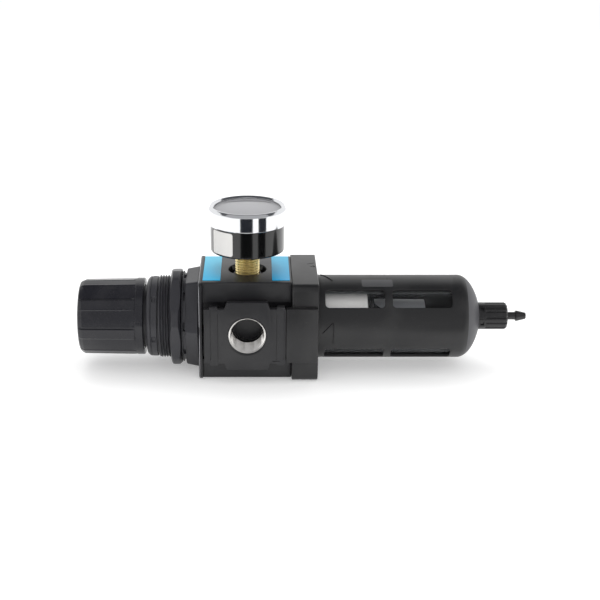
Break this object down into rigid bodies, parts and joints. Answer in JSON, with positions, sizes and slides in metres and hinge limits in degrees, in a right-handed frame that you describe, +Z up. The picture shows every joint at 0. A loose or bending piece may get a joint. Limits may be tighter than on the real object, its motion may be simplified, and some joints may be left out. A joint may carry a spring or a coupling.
{
  "type": "filter regulator",
  "caption": "Compressed air filter regulator with adjusting knob, pressure gauge, threaded bonnet with panel nut, windowed bowl guard over a clear bowl, and a drain with hose barb.",
  "frame": {"origin": "bottom centre of the bounding box, on the plane the part lies on, under the middle of its length", "axes": "+X along the long axis from the adjusting knob to the drain, +Y through the rear port, +Z up through the gauge"},
  "size_m": [0.2578, 0.0662, 0.0953],
  "materials": {
    "casting": "satin black powder coat",
    "black_plastic": "satin moulded plastic",
    "knob_plastic": "semi gloss moulded plastic",
    "guard_plastic": "matt moulded plastic",
    "dark_plastic": "matt",
    "grey_plastic": "matt",
    "clear_plastic": "clear polycarbonate",
    "element": "white sintered plastic",
    "label_film": "plain blue film",
    "rubber": "matt",
    "brass": "turned",
    "steel": "plated",
    "zinc": "die cast",
    "chrome": "bright",
    "gauge_glass": "clear",
    "dial": "white enamel",
    "pointer": "black enamel"
  },
  "bodies": {
    "body": {"main_body": "casting", "label_plate_left": "label_film", "label_plate_right": "label_film", "gauge_port_plug": "steel", "gauge_plug_seal": "rubber", "bonnet": "black_plastic", "thrust_washer": "steel", "control_spring": "steel", "diaphragm": "rubber", "valve_seat": "brass", "valve_spring": "steel", "valve_guide": "dark_plastic", "bowl_collar": "black_plastic", "collar_screw_1": "steel", "collar_screw_2": "steel", "collar_screw_3": "steel", "collar_screw_4": "steel", "deflector": "grey_plastic", "element_gasket": "rubber", "filter_element": "element", "baffle": "dark_plastic", "gauge_stem": "brass", "gauge_case": "black_plastic", "gauge_bezel": "chrome", "gauge_lens": "gauge_glass", "gauge_dial": "dial", "movement_plate": "brass", "bourdon_tube": "brass"},
    "screw": {"adjusting_screw": "steel"},
    "knob": {"adjusting_knob": "knob_plastic"},
    "spring_seat": {"spring_seat_nut": "zinc"},
    "nut": {"panel_nut": "black_plastic"},
    "diaphragm_centre": {"diaphragm_plate": "zinc", "relief_hub": "brass"},
    "valve": {"valve_stem": "brass", "valve_poppet": "rubber"},
    "sector": {"sector_gear": "brass"},
    "pointer": {"gauge_pointer": "pointer", "pointer_arbor": "steel"},
    "bowl_unit": {"bowl": "clear_plastic", "bowl_guard": "guard_plastic", "bowl_seal": "rubber"},
    "drain_turn": {"drain_knob": "black_plastic"},
    "drain_valve": {"drain_stem": "dark_plastic", "drain_seal": "rubber"}
  },
  "joints": [
    {"name": "adjust_turn", "type": "hinge", "parent": "body", "child": "screw", "pos_m": [-0.1, 0, 0.0287], "axis": [1, 0, 0], "range_deg": [0, 2880]},
    {"name": "knob_pull", "type": "slide", "parent": "screw", "child": "knob", "axis": [-1, 0, 0], "range_m": [0, 0.003]},
    {"name": "spring_seat_travel", "type": "slide", "parent": "body", "child": "spring_seat", "axis": [1, 0, 0], "range_m": [0, 0.01205], "deforming": ["control_spring"]},
    {"name": "panel_nut_turn", "type": "hinge", "parent": "body", "child": "nut", "pos_m": [-0.0726, 0, 0.0287], "axis": [1, 0, 0], "continuous": true},
    {"name": "diaphragm_travel", "type": "slide", "parent": "body", "child": "diaphragm_centre", "axis": [1, 0, 0], "range_m": [0, 0.0012], "stiffness_N_per_m": 1500, "deforming": ["diaphragm"]},
    {"name": "valve_travel", "type": "slide", "parent": "body", "child": "valve", "axis": [1, 0, 0], "range_m": [0, 0.00121], "deforming": ["valve_spring"]},
    {"name": "sector_turn", "type": "hinge", "parent": "body", "child": "sector", "pos_m": [-0.04322, 0, 0.0813], "axis": [0, 0, 1], "range_deg": [0, 60], "stiffness_Nm_per_rad": 0.0004},
    {"name": "pointer_turn", "type": "hinge", "parent": "body", "child": "pointer", "pos_m": [-0.03222, 0, 0.0813], "axis": [0, 0, 1], "range_deg": [-270.1, 0]},
    {"name": "bowl_twist", "type": "hinge", "parent": "body", "child": "bowl_unit", "pos_m": [0.01, 0, 0.0287], "axis": [-1, 0, 0], "range_deg": [0, 45]},
    {"name": "drain_knob_turn", "type": "hinge", "parent": "bowl_unit", "child": "drain_turn", "pos_m": [0.1, 0, 0.0287], "axis": [1, 0, 0], "range_deg": [0, 360]},
    {"name": "drain_stem_travel", "type": "slide", "parent": "bowl_unit", "child": "drain_valve", "axis": [-1, 0, 0], "range_m": [0, 0.00151]}
  ],
  "couplings": [
    {"joint": "spring_seat_travel", "follows": "adjust_turn", "m_per_rad": 0.00023873},
    {"joint": "valve_travel", "follows": "diaphragm_travel", "ratio": 1},
    {"joint": "pointer_turn", "follows": "sector_turn", "ratio": -4.5},
    {"joint": "drain_stem_travel", "follows": "drain_knob_turn", "m_per_rad": 0.00023873}
  ]
}
